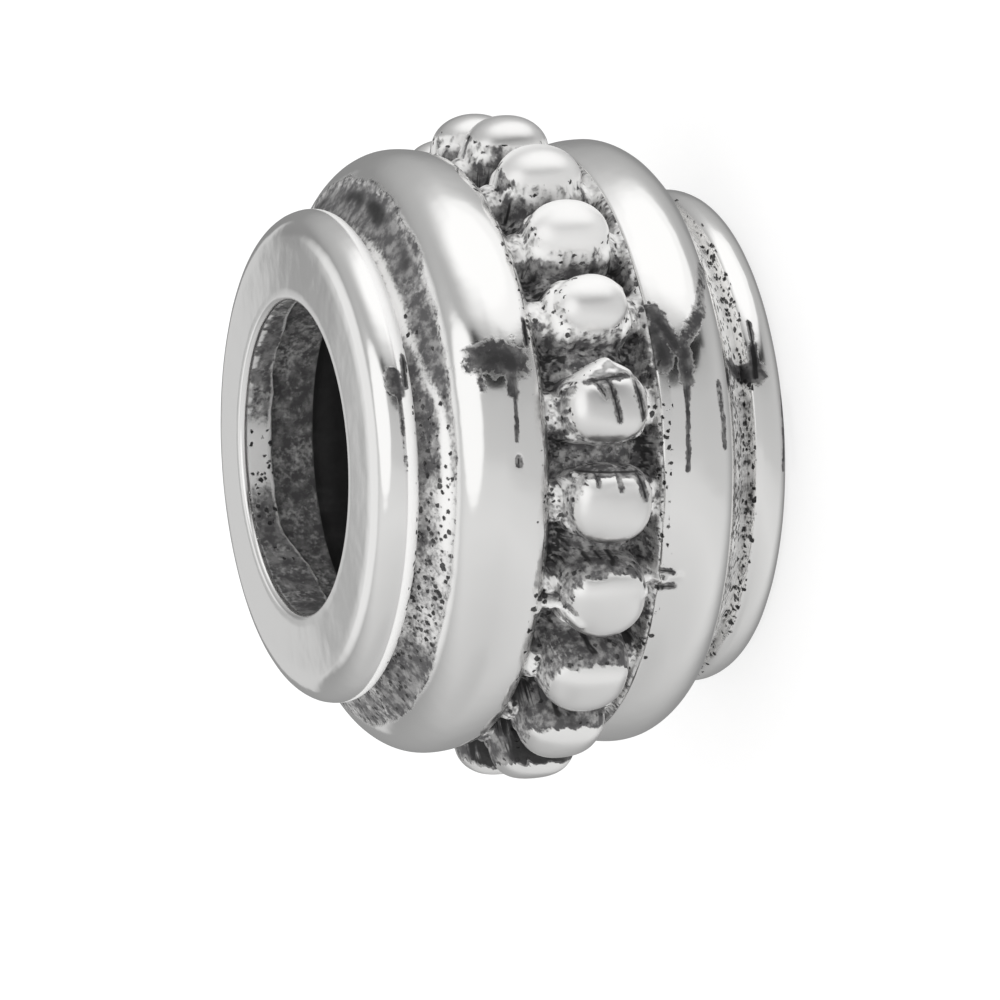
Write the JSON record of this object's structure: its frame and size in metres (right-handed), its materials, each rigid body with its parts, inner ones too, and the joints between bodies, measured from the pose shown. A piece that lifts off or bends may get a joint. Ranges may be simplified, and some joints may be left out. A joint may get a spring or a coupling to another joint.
{
  "type": "european charm bead",
  "caption": "Large-hole silver charm bead: a short ringed barrel with grooves, end rings and a row of raised grains round its middle.",
  "frame": {"origin": "where the bore's axis meets the lower end face, on which the bead stands", "axes": "+Z along the bore's axis, up; a grain lies at +X and at -Y, halfway up"},
  "size_m": [0.0102, 0.0102, 0.0067],
  "materials": {
    "silver": "polished sterling silver, oxidised nearly black in the grooves, pits and bore"
  },
  "bodies": {
    "root": {"charm_bead": "silver"}
  },
  "joints": []
}
